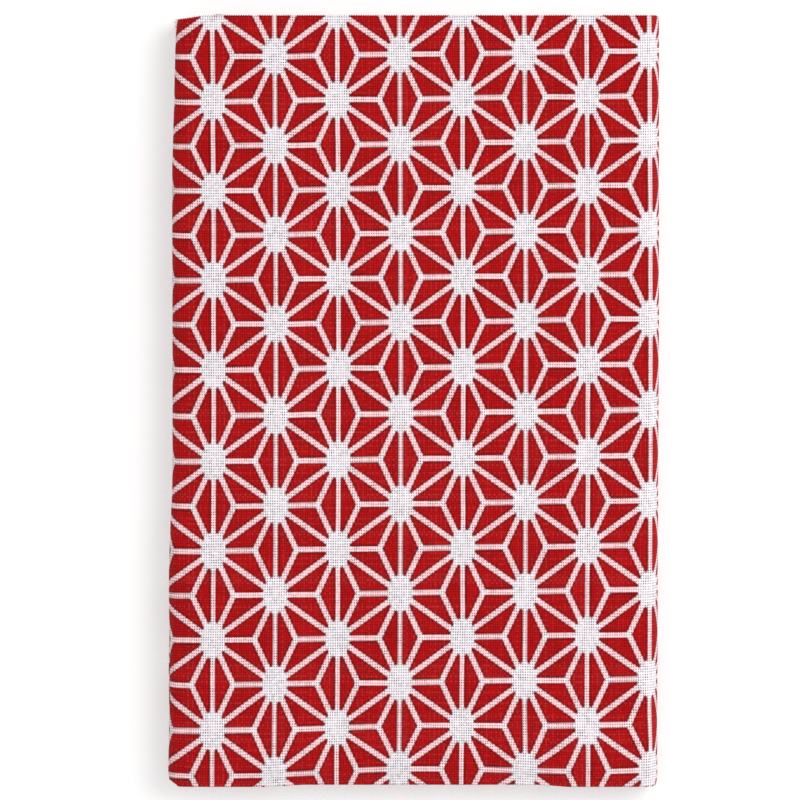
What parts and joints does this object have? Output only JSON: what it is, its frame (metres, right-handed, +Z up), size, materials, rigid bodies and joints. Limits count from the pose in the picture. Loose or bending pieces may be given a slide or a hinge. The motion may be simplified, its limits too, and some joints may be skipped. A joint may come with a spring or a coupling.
{
  "type": "folded hand towel",
  "caption": "Thin cotton hand towel folded flat into a rectangular packet, for drying hands and dishes or wrapping.",
  "frame": {"origin": "under the middle of the packet's outline, on the surface that it rests on", "axes": "+X across the packet from its cut ends to the outermost turn, +Y from the width fold to the woven edges, +Z up"},
  "size_m": [0.1136, 0.1787, 0.0107],
  "materials": {
    "dyed_cotton": "matt plain weave, red with a white hemp-leaf lattice"
  },
  "bodies": {
    "root": {"tenugui_towel": "dyed_cotton"}
  },
  "joints": []
}
